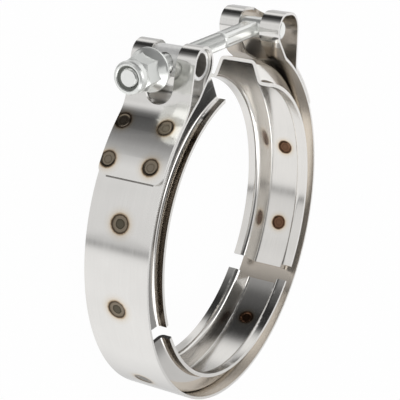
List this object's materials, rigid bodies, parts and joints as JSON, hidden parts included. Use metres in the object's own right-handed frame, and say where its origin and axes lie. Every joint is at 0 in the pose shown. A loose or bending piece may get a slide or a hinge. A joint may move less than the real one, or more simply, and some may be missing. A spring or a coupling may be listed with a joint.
{
  "type": "v band clamp",
  "caption": "Ring clamp of bright sheet steel with V-shaped inner retainers and a T-bolt closure through looped strap ends, tightened by a flanged lock nut.",
  "frame": {"origin": "centre of the ring, on its axis and half way through its width", "axes": "+Z along the ring's axis (the ring lies on its -Z rims), +Y from the ring's centre to the T-bolt closure, +X along the bolt from the nut to the T-head"},
  "size_m": [0.16, 0.1711, 0.0318],
  "materials": {
    "strap_steel": "bright rolled stainless sheet",
    "retainer_steel": "bright rolled stainless sheet",
    "trunnion_steel": "plain bright tube",
    "bolt_zinc": "white zinc plate",
    "nut_zinc": "white zinc plate",
    "nylon": "dark nylon insert"
  },
  "bodies": {
    "clamp_ring": {"strap": "strap_steel", "retainer_nut_side": "retainer_steel", "retainer_far_side": "retainer_steel", "retainer_head_side": "retainer_steel"},
    "trunnion": {"trunnion_tube": "trunnion_steel"},
    "bolt": {"t_bolt": "bolt_zinc"},
    "nut": {"lock_nut": "nut_zinc", "nylon_ring": "nylon"}
  },
  "joints": [
    {"name": "trunnion_turn", "type": "hinge", "parent": "clamp_ring", "child": "trunnion", "pos_m": [-0.0371, 0.08205, 0], "axis": [0, 0, 1], "range_deg": [-4, 4]},
    {"name": "bolt_slide", "type": "slide", "parent": "clamp_ring", "child": "bolt", "axis": [1, 0, 0], "range_m": [0, 0.006]},
    {"name": "nut_turn", "type": "hinge", "parent": "bolt", "child": "nut", "pos_m": [-0.0538, 0.08205, 0], "axis": [1, 0, 0], "continuous": true}
  ]
}
